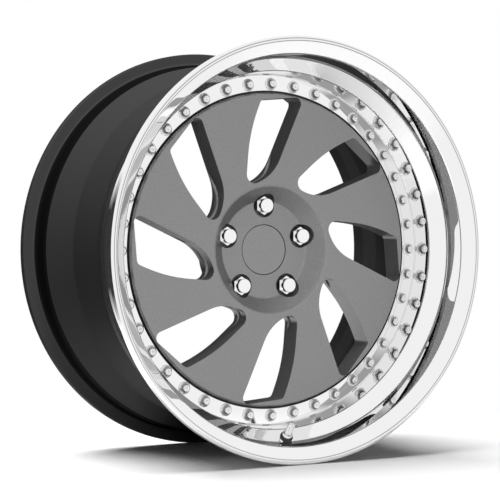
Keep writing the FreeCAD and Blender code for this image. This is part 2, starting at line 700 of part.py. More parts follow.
def build_valve(lip):
    """Valve hole in the lip, and the valve's pieces from the tyre side to the cap."""
    frame = valve_frame()
    foot_top = "0 - rim_wall - valve_seal_thickness"
    foot_end = f"{foot_top} - valve_foot_thickness"
    collar_base = "valve_grommet_thickness"
    collar_top = f"{collar_base} + valve_collar_height"
    core_end = "valve_stem_length - valve_core_length"
    cap_end = "valve_stem_length + valve_cap_wall"

    drill = document.addObject("Part::MultiFuse", "valve_drill")
    drill.Shapes = [
        cutter("valve_hole", frame, "valve_hole_radius", "0 - 2 * rim_wall", "3 * rim_wall"),
        cutter("front_spot_face", frame, "valve_grommet_radius + valve_spot_gap", "0", "rim_wall"),
        cutter("rear_spot_face", frame, "valve_foot_radius + valve_spot_gap", "0 - 3 * rim_wall",
               "2 * rim_wall"),
    ]
    drilled = document.addObject("Part::Cut", "drilled_lip")
    drilled.Base = lip
    drilled.Tool = drill

    stem = new_body("valve_stem")
    turn(stem, "stem_form", [
        ("valve_core_radius", foot_end),
        ("valve_foot_radius", foot_end),
        ("valve_foot_radius", foot_top),
        ("valve_shank_radius", foot_top),
        ("valve_shank_radius", collar_top),
        ("valve_stem_radius", collar_top),
        ("valve_stem_radius", "valve_stem_length"),
        ("valve_core_radius", "valve_stem_length"),
    ])
    core = new_body("valve_core")
    turn(core, "core_form", [
        ("0", core_end),
        ("valve_core_radius", core_end),
        ("valve_core_radius", "valve_stem_length - valve_cap_wall"),
        ("0", "valve_stem_length - valve_cap_wall"),
    ])
    seal = new_body("valve_seal")
    turn(seal, "seal_form", [
        ("valve_shank_radius", foot_top),
        ("valve_foot_radius", foot_top),
        ("valve_foot_radius", "0 - rim_wall"),
        ("valve_shank_radius", "0 - rim_wall"),
    ])
    grommet = new_body("valve_grommet")
    turn(grommet, "grommet_form", [
        ("valve_shank_radius", "0"),
        ("valve_grommet_radius", "0"),
        ("valve_grommet_radius", collar_base, "valve_cap_round"),
        ("valve_shank_radius", collar_base),
    ])
    collar = new_body("valve_nut")
    turn(collar, "collar_form", [
        ("valve_shank_radius", collar_base),
        ("valve_collar_radius", collar_base),
        ("valve_collar_radius", collar_top, "valve_cap_round / 2"),
        ("valve_shank_radius", collar_top),
    ])
    cap = new_body("valve_cap")
    cap_base = f"{cap_end} + valve_cap_wall - valve_cap_length"
    turn(cap, "valve_cap_form", [
        ("0", cap_end),
        ("valve_stem_radius", cap_end),
        ("valve_stem_radius", cap_base),
        ("valve_cap_radius", cap_base),
        ("valve_cap_radius", f"{cap_end} + valve_cap_wall", "valve_cap_round"),
        ("0", f"{cap_end} + valve_cap_wall"),
    ])
    pieces = [stem, core, seal, grommet, collar, cap]
    for piece in pieces:
        piece.Placement = frame
    return drilled, pieces


def check_document():
    """Stop where any object of the document failed to build."""
    document.recompute()
    for entry in document.Objects:
        if any(state in ("Invalid", "Error") for state in entry.State):
            raise RuntimeError(f"{entry.Name} failed: {entry.State}")


def write_nodes(nodes):
    """Write each sub-part's shape under its node's name."""
    for name, entry in nodes.items():
        if entry.Shape.isNull() or not entry.Shape.isValid():
            raise RuntimeError(f"{name} has no valid shape")
    os.makedirs("parts", exist_ok=True)
    for name, entry in nodes.items():
        entry.Shape.exportStep(f"parts/{name}.step")
        print(f"{name}: {len(entry.Shape.Solids)} solids, {entry.Shape.Volume / 1000:.1f} cm3")


def main():
    lip, barrel, disc = build_lip(), build_barrel(), build_disc()
    drilled_lip, valve_pieces = build_valve(lip)
    cap, cap_ring = build_cap()
    sealant = build_sealant()
    bolt, washer, lock_nut, lug_nut = build_bolt(), build_washer(), build_lock_nut(), build_lug_nut()
    document.recompute()
    nodes = {"outer_lip": drilled_lip, "inner_barrel": barrel, "centre_disc": groove_disc(disc)}
    nodes["assembly_bolts"] = ring_of("assembly_bolts", bolt, "bolt_count", BOLT_CIRCLE)
    nodes["assembly_washers"] = ring_of("assembly_washers", washer, "bolt_count", BOLT_CIRCLE)
    nodes["assembly_nuts"] = ring_of("assembly_nuts", lock_nut, "bolt_count", BOLT_CIRCLE)
    nodes["lug_nuts"] = ring_of("lug_nuts", lug_nut, "lug_count", "lug_circle_radius", turned=False)
    nodes["centre_cap"], nodes["cap_ring"] = cap, cap_ring
    nodes["seam_sealant"] = sealant
    nodes.update({piece.Label: piece for piece in valve_pieces})
    check_document()
    write_nodes(nodes)


main()
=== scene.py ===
"""Looks of a three-piece alloy wheel: polished stepped lip, black barrel, grey disc and bright hardware.

The wheel spins about Y with its street face towards -Y. Sizes are in millimetres where nothing else is said,
and become metres in the meshes.
"""
import logging
import math
from dataclasses import dataclass, field
from enum import Enum
from typing import Sequence

import bpy
from mathutils import Matrix, Vector


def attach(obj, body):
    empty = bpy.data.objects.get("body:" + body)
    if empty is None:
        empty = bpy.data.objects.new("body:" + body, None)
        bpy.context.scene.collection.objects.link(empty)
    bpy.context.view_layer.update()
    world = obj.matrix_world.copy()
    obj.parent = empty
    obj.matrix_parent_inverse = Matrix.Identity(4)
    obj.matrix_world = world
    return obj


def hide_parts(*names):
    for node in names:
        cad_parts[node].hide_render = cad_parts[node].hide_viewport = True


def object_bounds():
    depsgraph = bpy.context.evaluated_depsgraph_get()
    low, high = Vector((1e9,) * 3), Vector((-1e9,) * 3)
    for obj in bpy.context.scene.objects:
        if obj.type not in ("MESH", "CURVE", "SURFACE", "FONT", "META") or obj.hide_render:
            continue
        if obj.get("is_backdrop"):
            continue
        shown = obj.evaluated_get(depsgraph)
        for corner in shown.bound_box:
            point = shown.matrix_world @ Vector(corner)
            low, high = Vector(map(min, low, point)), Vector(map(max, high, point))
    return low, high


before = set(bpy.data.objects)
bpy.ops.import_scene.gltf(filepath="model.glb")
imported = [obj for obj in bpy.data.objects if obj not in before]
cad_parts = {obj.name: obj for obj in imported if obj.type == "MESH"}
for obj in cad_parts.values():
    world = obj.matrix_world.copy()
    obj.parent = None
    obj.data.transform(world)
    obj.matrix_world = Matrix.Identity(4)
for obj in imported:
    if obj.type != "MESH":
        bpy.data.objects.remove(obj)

Triple = tuple[float, float, float]

LOG = logging.getLogger("alloy_wheel")
MM = 0.001
BODY = "root"


class Spin(Enum):
    """How many steps a turned piece takes round its axis."""

    RIM = 288
    SMALL = 32


class Lit(Enum):
    """What a lamp lights, as the state of the floor among its receivers."""

    WHEEL = "EXCLUDE"
    FLOOR = "INCLUDE"


@dataclass(frozen=True)
class Corner:
    """Corner of a turned outline.

    Args:
        radius: distance from the axis.
        axial: place along the axis.
        rounding: radius of the arc that rounds it, 0 where it is sharp.
    """

    radius: float
    axial: float
    rounding: float = 0.0

    def vector(self) -> Vector:
        """The corner as a plane vector of radius and axial place."""
        return Vector((self.radius, self.axial))


def corner_arc(before: Vector, tip: Vector, after: Vector, rounding: float, arc_step: float) -> list[Vector]:
    """Points along the arc that rounds a corner.

    Args:
        before: the corner before it.
        tip: the corner.
        after: the corner after it.
        rounding: radius of the arc.
        arc_step: turn between two points, in degrees.

    Returns:
        The points, from one end of the arc to the other.
    """
    back = (before - tip).normalized()
    onward = (after - tip).normalized()
    half = back.angle(onward) / 2
    centre = tip + (back + onward).normalized() * (rounding / math.sin(half))
    first = tip + back * (rounding / math.tan(half)) - centre
    last = tip + onward * (rounding / math.tan(half)) - centre
    turn = first.angle_signed(last)
    steps = max(2, math.ceil(abs(math.degrees(turn)) / arc_step))
    arc = []
    for step in range(steps + 1):
        swung = first.copy()
        swung.rotate(Matrix.Rotation(-turn * step / steps, 2))
        arc.append(centre + swung)
    return arc


def rounded_path(corners: Sequence[Corner], closed: bool, arc_step: float, run_step: float) -> list[Vector]:
    """Points along an outline with its corners rounded.

    Args:
        corners: the outline's corners in order.
        closed: whether the last corner runs back to the first.
        arc_step: turn between two points on an arc, in degrees.
        run_step: longest distance between two points on a straight run.

    Returns:
        Plane vectors of radius and axial place.
    """
    tips = [corner.vector() for corner in corners]
    stops: list[list[Vector]] = []
    for index, corner in enumerate(corners):
        inner = closed or 0 < index < len(corners) - 1
        if corner.rounding > 0.0 and inner:
            after = tips[(index + 1) % len(tips)]
            stops.append(corner_arc(tips[index - 1], tips[index], after, corner.rounding, arc_step))
        else:
            stops.append([tips[index]])
    points: list[Vector] = []
    pairs = len(stops) if closed else len(stops) - 1
    for index, arc in enumerate(stops):
        points.extend(arc)
        if index >= pairs:
            continue
        start, end = arc[-1], stops[(index + 1) % len(stops)][0]
        parts = max(1, math.ceil((end - start).length / run_step))
        points.extend(start.lerp(end, part / parts) for part in range(1, parts))
    return points


class Bench:
    """Modelling steps shared by every piece, done with Blender's own operators."""

    SECTION_GAP = 0.001
    MESH_GAP = 0.002
    FLAT_ANGLE = 0.4
    TURNED_CREASE = 32.0
    CAD_CREASE = 28.0

    @staticmethod
    def clear() -> None:
        """Leave edit mode and deselect everything."""
        if bpy.context.object and bpy.context.object.mode != "OBJECT":
            bpy.ops.object.mode_set(mode="OBJECT")
        bpy.ops.object.select_all(action="DESELECT")

    @staticmethod
    def activate(piece: bpy.types.Object) -> None:
        """Make a piece the only selected and active one.

        Args:
            piece: the piece.
        """
        Bench.clear()
        piece.select_set(True)
        bpy.context.view_layer.objects.active = piece

    @staticmethod
    def turned(name: str, outline: Sequence[Vector], spin: Spin, closed: bool) -> bpy.types.Object:
        """Draw an outline by extruding one vertex, and spin it about Y.

        Args:
            name: name of the piece.
            outline: plane vectors of radius and axial place.
            spin: steps round the axis.
            closed: whether the outline runs back to its first point.

        Returns:
            The turned piece, its place in its mesh.
        """
        Bench.clear()
        bpy.ops.mesh.primitive_plane_add(size=MM)
        piece = bpy.context.object
        piece.name = name
        bpy.ops.object.mode_set(mode="EDIT")
        bpy.ops.mesh.select_all(action="SELECT")
        bpy.ops.mesh.merge(type="CENTER")
        bpy.ops.transform.translate(value=(outline[0].x * MM, outline[0].y * MM, 0.0))
        route = list(outline) + ([outline[0]] if closed else [])
        for here, there in zip(route, route[1:]):
            step = (there - here) * MM
            bpy.ops.mesh.extrude_vertices_move(TRANSFORM_OT_translate={"value": (step.x, step.y, 0.0)})
        bpy.ops.mesh.select_all(action="SELECT")
        bpy.ops.mesh.remove_doubles(threshold=MM * Bench.SECTION_GAP)
        bpy.ops.mesh.spin(steps=spin.value, angle=math.tau, center=(0, 0, 0), axis=(0, 1, 0))
        bpy.ops.mesh.select_all(action="SELECT")
        bpy.ops.mesh.remove_doubles(threshold=MM * Bench.MESH_GAP)
        bpy.ops.mesh.normals_make_consistent(inside=False)
        bpy.ops.object.mode_set(mode="OBJECT")
        return piece

    @staticmethod
    def smooth(piece: bpy.types.Object, crease: float) -> None:
        """Shade a piece smooth, its large faces kept flat.

        Args:
            piece: the piece.
            crease: angle between faces from which an edge stays sharp, in degrees.
        """
        Bench.activate(piece)
        bpy.ops.object.shade_smooth_by_angle(angle=math.radians(crease))
        weighted = piece.modifiers.new("large_faces", "WEIGHTED_NORMAL")
        weighted.keep_sharp = True
        bpy.ops.object.modifier_apply(modifier=weighted.name)

    @staticmethod
    def cad_copy(node: str, name: str) -> bpy.types.Object:
        """Copy of a CAD node's mesh, its loose triangles merged.

        Args:
            node: name of the CAD node.
            name: name of the copy.

        Returns:
            The copy, not yet riding on a body.
        """
        piece = bpy.data.objects.new(name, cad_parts[node].data.copy())
        bpy.context.scene.collection.objects.link(piece)
        piece.data.materials.clear()
        Bench.activate(piece)
        if piece.data.has_custom_normals:
            bpy.ops.mesh.customdata_custom_splitnormals_clear()
        bpy.ops.object.mode_set(mode="EDIT")
        bpy.ops.mesh.select_all(action="SELECT")
        bpy.ops.mesh.remove_doubles(threshold=MM * Bench.MESH_GAP)
        bpy.ops.object.mode_set(mode="OBJECT")
        return piece

    @staticmethod
    def soften_edges(piece: bpy.types.Object, width: float, segments: int) -> None:
        """Round every edge of a copied CAD node that is sharper than its crease angle.

        Args:
            piece: the piece.
            width: width of the rounding.
            segments: faces across the rounding.
        """
        Bench.activate(piece)
        bpy.ops.object.mode_set(mode="EDIT")
        bpy.ops.mesh.select_all(action="SELECT")
        bpy.ops.mesh.dissolve_limited(angle_limit=math.radians(Bench.FLAT_ANGLE))
        bpy.ops.object.mode_set(mode="OBJECT")
        bevel = piece.modifiers.new("edge_round", "BEVEL")
        bevel.width = width * MM
        bevel.segments = segments
        bevel.limit_method = "ANGLE"
        bevel.angle_limit = math.radians(Bench.CAD_CREASE)
        bevel.use_clamp_overlap = True
        bpy.ops.object.modifier_apply(modifier=bevel.name)

    @staticmethod
    def softened(node: str, name: str, width: float, segments: int = 2) -> bpy.types.Object:
        """Copy of a CAD node with rounded edges and smooth faces.

        Args:
            node: name of the CAD node.
            name: name of the copy.
            width: width of the rounding.
            segments: faces across the rounding.

        Returns:
            The copy, not yet riding on a body.
        """
        piece = Bench.cad_copy(node, name)
        Bench.soften_edges(piece, width, segments)
        Bench.smooth(piece, Bench.CAD_CREASE)
        return piece

    @staticmethod
    def mark(piece: bpy.types.Object, name: str, start: float, end: float, radius: float) -> None:
        """Mark a band round the Y axis with a point attribute that is 1 there.

        Args:
            piece: the piece.
            name: name of the attribute.
            start: axial place where the band starts.
            end: axial place where it ends.
            radius: least radius of its points.
        """
        marks = piece.data.attributes.new(name, "FLOAT", "POINT")
        for point, mark in zip(piece.data.vertices, marks.data):
            reach = math.hypot(point.co.x, point.co.z)
            mark.value = float(start * MM <= point.co.y <= end * MM and reach >= radius * MM)

    @staticmethod
    def ring(master: bpy.types.Object, count: int) -> bpy.types.Object:
        """Copy a piece round the wheel's axis and join the copies, each with its own mesh.

        Args:
            master: the piece at its first place, which gives way to the ring.
            count: pieces in the ring.

        Returns:
            The joined ring.
        """
        copies = []
        for index in range(count):
            copy = bpy.data.objects.new(f"{master.name}_{index}", master.data.copy())
            copy.data.transform(Matrix.Rotation(-math.tau * index / count, 4, "Y"))
            bpy.context.scene.collection.objects.link(copy)
            copies.append(copy)
        name = master.name
        bpy.data.objects.remove(master)
        Bench.activate(copies[0])
        for copy in copies:
            copy.select_set(True)
        bpy.ops.object.join()
        joined = bpy.context.object
        joined.name = name
        return joined


@dataclass(frozen=True)
class Finish:
    """Surface finish built from shader nodes.

    Args:
        name: name of the finish, which is also the record's material slot.
        color: linear base colour.
        metallic: 1 for bare metal.
        roughness: middle roughness.
        roughness_spread: how far the grain moves the roughness up and down.
        grain_scale: scale of the grain, 0 for none.
        grain_depth: depth of the grain.
        color_spread: share by which the grain lightens and darkens the colour.
        turned_lines: scale of the lathe lines, 0 for none.
        turned_depth: depth of the lathe lines.
        specular: level of the clear reflection.
        painted_shade: point attribute where a painted shade lies, a darker coat that stands in for shadow, empty
            for none.
        painted_shade_color: linear colour of the painted shade.
    """

    name: str
    color: Triple
    metallic: float
    roughness: float
    roughness_spread: float = 0.0
    grain_scale: float = 0.0
    grain_depth: float = 0.0
    color_spread: float = 0.0
    turned_lines: float = 0.0
    turned_depth: float = 0.0
    specular: float = 0.5
    painted_shade: str = ""
    painted_shade_color: Triple = (0.0, 0.0, 0.0)

    def material(self) -> bpy.types.Material:
        """Build the material, once.

        Returns:
            The material of this finish.
        """
        title = f"{self.name}_finish"
        found = bpy.data.materials.get(title)
        if found:
            return found
        made = bpy.data.materials.new(title)
        made.use_nodes = True
        tree = made.node_tree
        shader = tree.nodes["Principled BSDF"]
        shader.inputs["Base Color"].default_value = (*self.color, 1.0)
        shader.inputs["Metallic"].default_value = self.metallic
        shader.inputs["Roughness"].default_value = self.roughness
        shader.inputs["Specular IOR Level"].default_value = self.specular
        place = tree.nodes.new("ShaderNodeTexCoord").outputs["Object"]
        if self.grain_scale:
            grain = self._noise(tree, place, self.grain_scale, 3.0)
            self._bump(tree, shader, grain, self.grain_depth)
            if self.color_spread:
                tree.links.new(self._spread_color(tree, grain), shader.inputs["Base Color"])
            if self.roughness_spread:
                tree.links.new(self._spread_roughness(tree, grain), shader.inputs["Roughness"])
        if self.turned_lines:
            lines = self._noise(tree, self._section(tree, place), self.turned_lines, 2.0)
            self._bump(tree, shader, lines, self.turned_depth)
        # painted shade: a darker coat over the marked places that lie in shadow
        if self.painted_shade:
            self._paint_shade_over(tree, shader)
        return made

    @staticmethod
    def _noise(tree: bpy.types.NodeTree, place: bpy.types.NodeSocket, scale: float,
               detail: float) -> bpy.types.NodeSocket:
        """Noise over a surface.

        Args:
            tree: node tree of the material.
            place: coordinates of the surface.
            scale: scale of the noise.
            detail: its octaves.

        Returns:
            The noise's value.
        """
        noise = tree.nodes.new("ShaderNodeTexNoise")
        noise.inputs["Scale"].default_value = scale
        noise.inputs["Detail"].default_value = detail
        tree.links.new(place, noise.inputs["Vector"])
        return noise.outputs["Fac"]

    @staticmethod
    def _bump(tree: bpy.types.NodeTree, shader: bpy.types.ShaderNode, height: bpy.types.NodeSocket,
              depth: float) -> None:
        """Let a height tilt a coat's normals.

        Args:
            tree: node tree of the material.
            shader: the coat.
            height: the height, from 0 to 1.
            depth: what a height of 1 stands for.
        """
        bump = tree.nodes.new("ShaderNodeBump")
        bump.inputs["Strength"].default_value = 1.0
        bump.inputs["Distance"].default_value = depth * MM
        tree.links.new(height, bump.inputs["Height"])
        tree.links.new(bump.outputs["Normal"], shader.inputs["Normal"])

    def _spread_color(self, tree: bpy.types.NodeTree, grain: bpy.types.NodeSocket) -> bpy.types.NodeSocket:
        """Base colour that varies with the grain.

        Args:
            tree: node tree of the material.
            grain: value of the grain.

        Returns:
            The colour socket.
        """
        ramp = tree.nodes.new("ShaderNodeValToRGB")
        dark, light = ramp.color_ramp.elements
        dark.position, light.position = 0.3, 0.7
        dark.color = (*(part * (1 - self.color_spread) for part in self.color), 1.0)
        light.color = (*(part * (1 + self.color_spread) for part in self.color), 1.0)
        tree.links.new(grain, ramp.inputs["Fac"])
        return ramp.outputs["Color"]

    def _spread_roughness(self, tree: bpy.types.NodeTree, grain: bpy.types.NodeSocket) -> bpy.types.NodeSocket:
        """Roughness that varies with the grain.

        Args:
            tree: node tree of the material.
            grain: value of the grain.

        Returns:
            The roughness socket.
        """
        spread = tree.nodes.new("ShaderNodeMapRange")
        spread.inputs["To Min"].default_value = self.roughness - self.roughness_spread
        spread.inputs["To Max"].default_value = self.roughness + self.roughness_spread
        tree.links.new(grain, spread.inputs["Value"])
        return spread.outputs["Result"]

    @staticmethod
    def _section(tree: bpy.types.NodeTree, place: bpy.types.NodeSocket) -> bpy.types.NodeSocket:
        """Radius and axial place of a point, so that a pattern on them runs round the wheel's axis.

        Args:
            tree: node tree of the material.
            place: object coordinates.

        Returns:
            The socket of the two as a vector.
        """
        split = tree.nodes.new("ShaderNodeSeparateXYZ")
        tree.links.new(place, split.inputs["Vector"])
        flat = tree.nodes.new("ShaderNodeCombineXYZ")
        tree.links.new(split.outputs["X"], flat.inputs["X"])
        tree.links.new(split.outputs["Z"], flat.inputs["Y"])
        radius = tree.nodes.new("ShaderNodeVectorMath")
        radius.operation = "LENGTH"
        tree.links.new(flat.outputs["Vector"], radius.inputs[0])
        section = tree.nodes.new("ShaderNodeCombineXYZ")
        tree.links.new(radius.outputs["Value"], section.inputs["X"])
        tree.links.new(split.outputs["Y"], section.inputs["Y"])
        return section.outputs["Vector"]

    def _paint_shade_over(self, tree: bpy.types.NodeTree, shader: bpy.types.ShaderNode) -> None:
        """Painted shade: a darker coat laid where the mesh's own attribute of that name is 1, standing in for
        shadow.

        Args:
            tree: node tree of the material.
            shader: the finish's own coat, under the painted shade.
        """
        second = tree.nodes.new("ShaderNodeBsdfPrincipled")
        second.inputs["Base Color"].default_value = (*self.painted_shade_color, 1.0)
        second.inputs["Roughness"].default_value = self.roughness
        second.inputs["Specular IOR Level"].default_value = self.specular
        shade_mask = tree.nodes.new("ShaderNodeAttribute")
        shade_mask.attribute_name = self.painted_shade
        mix = tree.nodes.new("ShaderNodeMixShader")
        tree.links.new(shade_mask.outputs["Fac"], mix.inputs["Fac"])
        tree.links.new(shader.outputs["BSDF"], mix.inputs[1])
        tree.links.new(second.outputs["BSDF"], mix.inputs[2])
        tree.links.new(mix.outputs["Shader"], tree.nodes["Material Output"].inputs["Surface"])


POLISHED_LIP = Finish("polished_lip", (0.875, 0.875, 0.88), metallic=1.0, roughness=0.0,
                      turned_lines=900.0, turned_depth=0.0006)
# black barrel coat; the marked bead seat gets near-black painted shade for the shadow in the groove between hump
# and flange
BARREL_COAT = Finish("barrel_coat", (0.027, 0.027, 0.0275), metallic=0.0, roughness=0.55, roughness_spread=0.05,
                     grain_scale=900.0, grain_depth=0.02, color_spread=0.06, specular=0.05,
                     painted_shade="bead_seat", painted_shade_color=(0.003, 0.003, 0.003))
# grey disc coat; a band of the disc's outer wall by the gap gets near-black painted shadow
DISC_COAT = Finish("disc_coat", (0.235, 0.235, 0.2365), metallic=0.85, roughness=0.38, roughness_spread=0.06,
                   grain_scale=800.0, grain_depth=0.03, color_spread=0.20,
                   painted_shade="rim_gap_painted_shadow", painted_shade_color=(0.004, 0.004, 0.004))
CAP_COAT = Finish("cap_coat", (0.245, 0.245, 0.2465), metallic=0.85, roughness=0.38, roughness_spread=0.06,
                  grain_scale=800.0, grain_depth=0.03, color_spread=0.20)
# bright bolts; the neck under each head gets dark painted shade for the shadow there
BRIGHT_BOLT = Finish("bright_fastener", (0.80, 0.80, 0.805), metallic=1.0, roughness=0.0,
                     grain_scale=700.0, grain_depth=0.004,
                     painted_shade="neck", painted_shade_color=(0.10, 0.10, 0.10))
LUG_CHROME = Finish("lug_chrome", (0.90, 0.90, 0.905), metallic=1.0, roughness=0.0,
                    grain_scale=700.0, grain_depth=0.003)
PLATED_NUT = Finish("plated_nut", (0.56, 0.56, 0.55), metallic=1.0, roughness=0.32, roughness_spread=0.08,
                    grain_scale=900.0, grain_depth=0.01, color_spread=0.05)
BLACK_RUBBER = Finish("black_rubber", (0.014, 0.014, 0.014), metallic=0.0, roughness=0.55, roughness_spread=0.08,
                      grain_scale=1200.0, grain_depth=0.03, color_spread=0.12)
SEALANT = Finish("sealant", (0.020, 0.020, 0.020), metallic=0.0, roughness=0.5, roughness_spread=0.06,
                 grain_scale=180.0, grain_depth=0.25, color_spread=0.10)
VALVE_CHROME = Finish("valve_chrome", (0.86, 0.86, 0.865), metallic=1.0, roughness=0.0,
                      grain_scale=800.0, grain_depth=0.004)


def dress(piece: bpy.types.Object, finish: Finish, nodes: Sequence[str]) -> None:
    """Give a new piece its finish, its body and the nodes that it stands for.

    Args:
        piece: the new piece.
        finish: its finish.
        nodes: CAD nodes that it replaces.
    """
    piece.data.materials.clear()
    piece.data.materials.append(finish.material())
    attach(piece, BODY)
    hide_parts(*nodes)
    LOG.info("%s: %d faces", piece.name, len(piece.data.polygons))


def coat_node(node: str, finish: Finish) -> None:
    """Give a carried-over CAD node its finish.

    Args:
        node: name of the node.
        finish: its finish.
    """
    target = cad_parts[node]
    if not target.material_slots:
        target.data.materials.append(finish.material())
    for holder in target.material_slots:
        holder.material = finish.material()
    LOG.info("%s: coated", node)


@dataclass
class RimContour:
    """Standard contour that lip and barrel share."""

    radius: float = 261.2
    half_width: float = 140.0
    bead_seat: float = 243.7
    bead_seat_low: float = 241.9
    bead_face: float = 127.0
    hump: float = 103.0
    hump_half_width: float = 4.5
    hump_rise: float = 2.8
    well: float = 227.5
    wall: float = 4.6
    seam: float = -37.0
    edge_round: float = 3.0
    bead_round: float = 6.5
    flange_bore: float = 200.0
    bore_round: float = 0.6
    flare_top_inset: float = 4.5


@dataclass
class OuterLip:
    """Mirror-polished lip with its step wall, slope, dish and rolled edge."""

    rim: RimContour = field(default_factory=RimContour)
    front: float = -51.0
    rear: float = -45.0
    step_root: float = 220.4
    step_round: float = 1.5
    shoulder: float = 222.8
    shoulder_place: float = -80.0
    shoulder_round: float = 4.0
    slope_end: float = 238.6
    slope_end_place: float = -97.2
    slope_round: float = 8.0
    flare: float = 239.8
    flare_place: float = -127.5
    flare_round: float = 5.0
    top_round: float = 5.0
    register: float = 217.5
    arc_step: float = 5.0
    run_step: float = 3.0

    def outline(self) -> list[Corner]:
        """Section of the lip.

        Returns:
            Its corners, from the flange's bore forward and round to the seam.
        """
        rim = self.rim
        run = math.hypot(self.slope_end - self.shoulder, self.slope_end_place - self.shoulder_place)
        out = rim.wall * (self.shoulder_place - self.slope_end_place) / run
        back = rim.wall * (self.slope_end - self.shoulder) / run
        well_front = self.shoulder_place + back - (rim.well - self.shoulder - out) * out / back
        return [
            Corner(rim.flange_bore, self.front, rim.bore_round),
            Corner(self.step_root, self.front, self.step_round),
            Corner(self.shoulder, self.shoulder_place, self.shoulder_round),
            Corner(self.slope_end, self.slope_end_place, self.slope_round),
            Corner(self.flare, self.flare_place, self.flare_round),
            Corner(rim.radius - rim.flare_top_inset, -rim.half_width, self.top_round),
            Corner(rim.radius, rim.edge_round - rim.half_width, rim.edge_round / 2),
            Corner(rim.radius, -rim.bead_face, rim.edge_round / 2),
            Corner(rim.bead_seat, -rim.bead_face, rim.bead_round),
            Corner(rim.bead_seat_low, -rim.hump - rim.hump_half_width, rim.edge_round),
            Corner(rim.bead_seat_low + rim.hump_rise, -rim.hump, rim.edge_round),
            Corner(self.slope_end + out, self.slope_end_place + back, rim.edge_round),
            Corner(rim.well, well_front, rim.bead_round),
            Corner(rim.well, rim.seam),
            Corner(self.register, rim.seam),
            Corner(self.register, self.rear),
            Corner(rim.flange_bore, self.rear, rim.bore_round),
        ]

    def build(self) -> None:
        """Turn the lip and dress it."""
        path = rounded_path(self.outline(), True, self.arc_step, self.run_step)
        lip = Bench.turned("lip_polished", path, Spin.RIM, closed=True)
        Bench.smooth(lip, Bench.TURNED_CREASE)
        dress(lip, POLISHED_LIP, ["outer_lip"])


@dataclass
class InnerBarrel:
    """Black barrel with its well, rear bead seat and rolled rear flange."""

    rim: RimContour = field(default_factory=RimContour)
    joint_rear: float = -31.0
    well_end: float = 46.0
    well_round: float = 20.0
    flare_depth: float = 11.0
    flare_round: float = 10.0
    painted_shade_margin: float = 1.0
    arc_step: float = 7.0
    run_step: float = 6.0

    def slope_end(self) -> float:
        """Axial place where the slope from the well meets the safety hump."""
        return self.rim.hump - self.rim.hump_half_width

    def outline(self) -> list[Corner]:
        """Section of the barrel.

        Returns:
            Its corners, from the bolting flange along the tyre side and back inside.
        """
        rim = self.rim
        slope_end = self.slope_end()
        run = math.hypot(slope_end - self.well_end, rim.bead_seat_low - rim.well)
        inward = rim.wall * (slope_end - self.well_end) / run
        rearward = rim.wall * (rim.bead_seat_low - rim.well) / run
        return [
            Corner(rim.flange_bore, rim.seam),
            Corner(rim.well, rim.seam),
            Corner(rim.well, self.well_end, self.well_round),
            Corner(rim.bead_seat_low, slope_end, rim.edge_round),
            Corner(rim.bead_seat_low + rim.hump_rise, rim.hump, rim.edge_round),
            Corner(rim.bead_seat_low, rim.hump + rim.hump_half_width, rim.edge_round),
            Corner(rim.bead_seat, rim.bead_face, rim.bead_round),
            Corner(rim.radius, rim.bead_face, rim.edge_round / 2),
            Corner(rim.radius, rim.half_width - rim.edge_round, rim.edge_round / 2),
            Corner(rim.radius - rim.flare_top_inset, rim.half_width, rim.edge_round),
            Corner(rim.bead_seat - rim.wall, rim.half_width - self.flare_depth, self.flare_round),
            Corner(rim.bead_seat_low - inward, slope_end + rearward, self.well_round),
            Corner(rim.well - inward, self.well_end + rearward, self.well_round),
            Corner(rim.well - inward, self.joint_rear, rim.edge_round),
            Corner(rim.flange_bore, self.joint_rear, rim.bore_round),
        ]

    def build(self) -> None:
        """Turn the barrel, mark its bead seat for painted shade and dress it."""
        path = rounded_path(self.outline(), True, self.arc_step, self.run_step)
        barrel = Bench.turned("barrel_black", path, Spin.RIM, closed=True)
        Bench.smooth(barrel, Bench.TURNED_CREASE)
        # band of painted shade over the bead seat, where the hump and flange shade it
        seat_end = self.rim.bead_face - self.painted_shade_margin
        seat_radius = self.rim.bead_seat_low - self.painted_shade_margin
        Bench.mark(barrel, BARREL_COAT.painted_shade, self.slope_end(), seat_end, seat_radius)
        dress(barrel, BARREL_COAT, ["inner_barrel"])


@dataclass
class CentreDisc:
    """Grey centre disc with slanted windows, and the cap in its bore."""

    edge_round: float = 0.5
    cap_round: float = 0.4
    gap_floor: float = -45.0
    gap_shade_reach: float = 0.8
    gap_shade_radius: float = 196.0

    def build(self) -> None:
        """Soften the edges of disc and cap, mark a band of painted shadow in the gap round the disc and dress
        both.
        """
        disc = Bench.softened("centre_disc", "disc_grey", self.edge_round)
        # painted shadow: band of the disc's outer wall in the gap to the lip's flange
        gap_start, gap_end = self.gap_floor - self.gap_shade_reach, self.gap_floor + self.gap_shade_reach
        Bench.mark(disc, DISC_COAT.painted_shade, gap_start, gap_end, self.gap_shade_radius)
        dress(disc, DISC_COAT, ["centre_disc"])
        cap = Bench.softened("centre_cap", "cap_plain", self.cap_round)
        dress(cap, CAP_COAT, ["centre_cap"])
        coat_node("cap_ring", BLACK_RUBBER)


